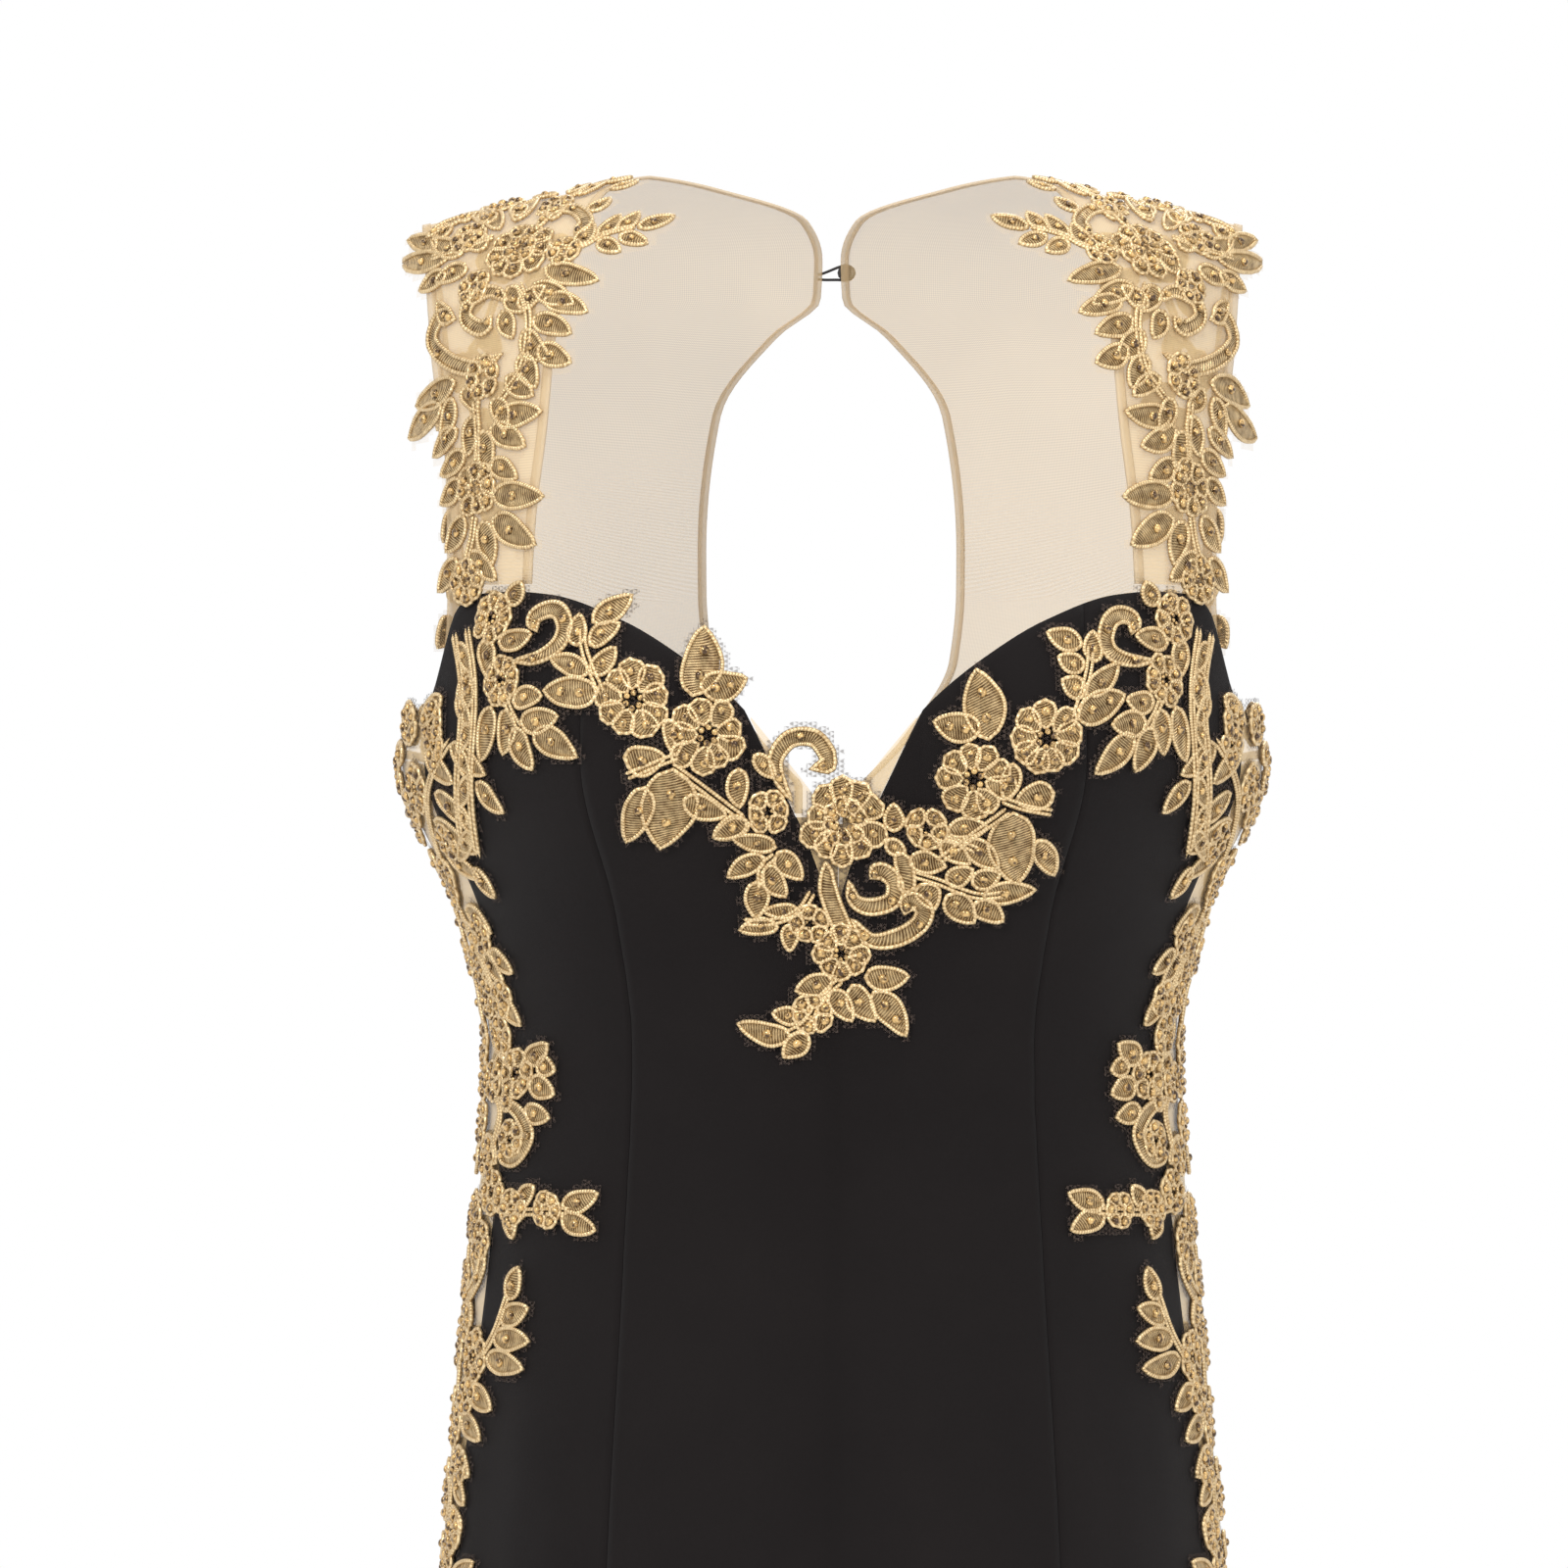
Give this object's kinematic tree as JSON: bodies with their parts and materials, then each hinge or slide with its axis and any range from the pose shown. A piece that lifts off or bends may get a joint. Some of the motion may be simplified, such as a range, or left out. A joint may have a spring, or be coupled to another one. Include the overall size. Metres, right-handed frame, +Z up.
{
  "type": "evening gown",
  "caption": "Floor-length sleeveless gown with a sweetheart neckline, sheer shoulders and sides, corded lace trim, and a back zip whose slider and pull tab move.",
  "frame": {"origin": "on the body's centre line, midway between the shoulders, at the height of the neck side of the shoulder pieces that carry the gown", "axes": "+Z up along the body, -Y out of the front, +X towards the wearer's left"},
  "size_m": [0.47, 0.42, 1.4367],
  "materials": {
    "black_jersey": "matte stretch jersey with a soft sheen",
    "nude_mesh": "sheer stretch mesh",
    "beige_binding": "satin bias binding",
    "gold_lace": "metallic corded lace with beads",
    "black_lining": "smooth knit lining",
    "cup_foam": "moulded foam cup covered in tricot",
    "bone_casing": "woven casing over a plastic bone",
    "stay_ribbon": "ribbed grosgrain",
    "hem_braid": "stiff braided net",
    "zip_tape": "knitted zip tape",
    "zip_teeth": "nylon coil",
    "dark_metal": "dull nickel",
    "button_cover": "jersey-covered button",
    "elastic_loop": "corded elastic"
  },
  "bodies": {
    "gown": {"front_panel": "black_jersey", "side_front_left": "black_jersey", "side_front_right": "black_jersey", "back_panel_left": "black_jersey", "back_panel_right": "black_jersey", "centre_mesh_inset": "nude_mesh", "side_mesh_left": "nude_mesh", "side_mesh_right": "nude_mesh", "strap_mesh_left": "nude_mesh", "strap_mesh_right": "nude_mesh", "back_yoke_left": "nude_mesh", "back_yoke_right": "nude_mesh", "neck_binding_left": "beige_binding", "neck_binding_right": "beige_binding", "armhole_binding_left": "beige_binding", "armhole_binding_right": "beige_binding", "underarm_binding_left": "beige_binding", "underarm_binding_right": "beige_binding", "neckline_lace": "gold_lace", "bust_lace_left": "gold_lace", "bust_lace_right": "gold_lace", "side_lace_upper_left": "gold_lace", "side_lace_upper_right": "gold_lace", "side_lace_lower_left": "gold_lace", "side_lace_lower_right": "gold_lace", "shoulder_lace_left": "gold_lace", "shoulder_lace_right": "gold_lace", "back_lace_left": "gold_lace", "back_lace_right": "gold_lace", "front_lining": "black_lining", "back_lining_left": "black_lining", "back_lining_right": "black_lining", "skirt_lining": "black_lining", "bust_cup_left": "cup_foam", "bust_cup_right": "cup_foam", "front_bone_left": "bone_casing", "front_bone_right": "bone_casing", "side_bone_left": "bone_casing", "side_bone_right": "bone_casing", "back_bone_left": "bone_casing", "back_bone_right": "bone_casing", "waist_stay": "stay_ribbon", "hem_braid": "hem_braid", "zip_tape_left": "zip_tape", "zip_tape_right": "zip_tape", "zip_teeth_left": "zip_teeth", "zip_teeth_right": "zip_teeth", "zip_bottom_stop": "dark_metal", "top_hook": "dark_metal", "top_eye": "dark_metal", "stay_hook": "dark_metal", "stay_bar": "dark_metal", "nape_button": "button_cover", "nape_loop": "elastic_loop"},
    "zip_slider": {"zip_slider": "dark_metal"},
    "zip_pull": {"zip_pull": "dark_metal"}
  },
  "joints": [
    {"name": "zip_slide", "type": "slide", "parent": "gown", "child": "zip_slider", "axis": [0, 0.0548, -0.9985], "range_m": [0, 0.195]},
    {"name": "pull_swing", "type": "hinge", "parent": "zip_slider", "child": "zip_pull", "pos_m": [0, 0.08853, -0.26306], "axis": [1, 0, 0], "range_deg": [0, 170]}
  ]
}
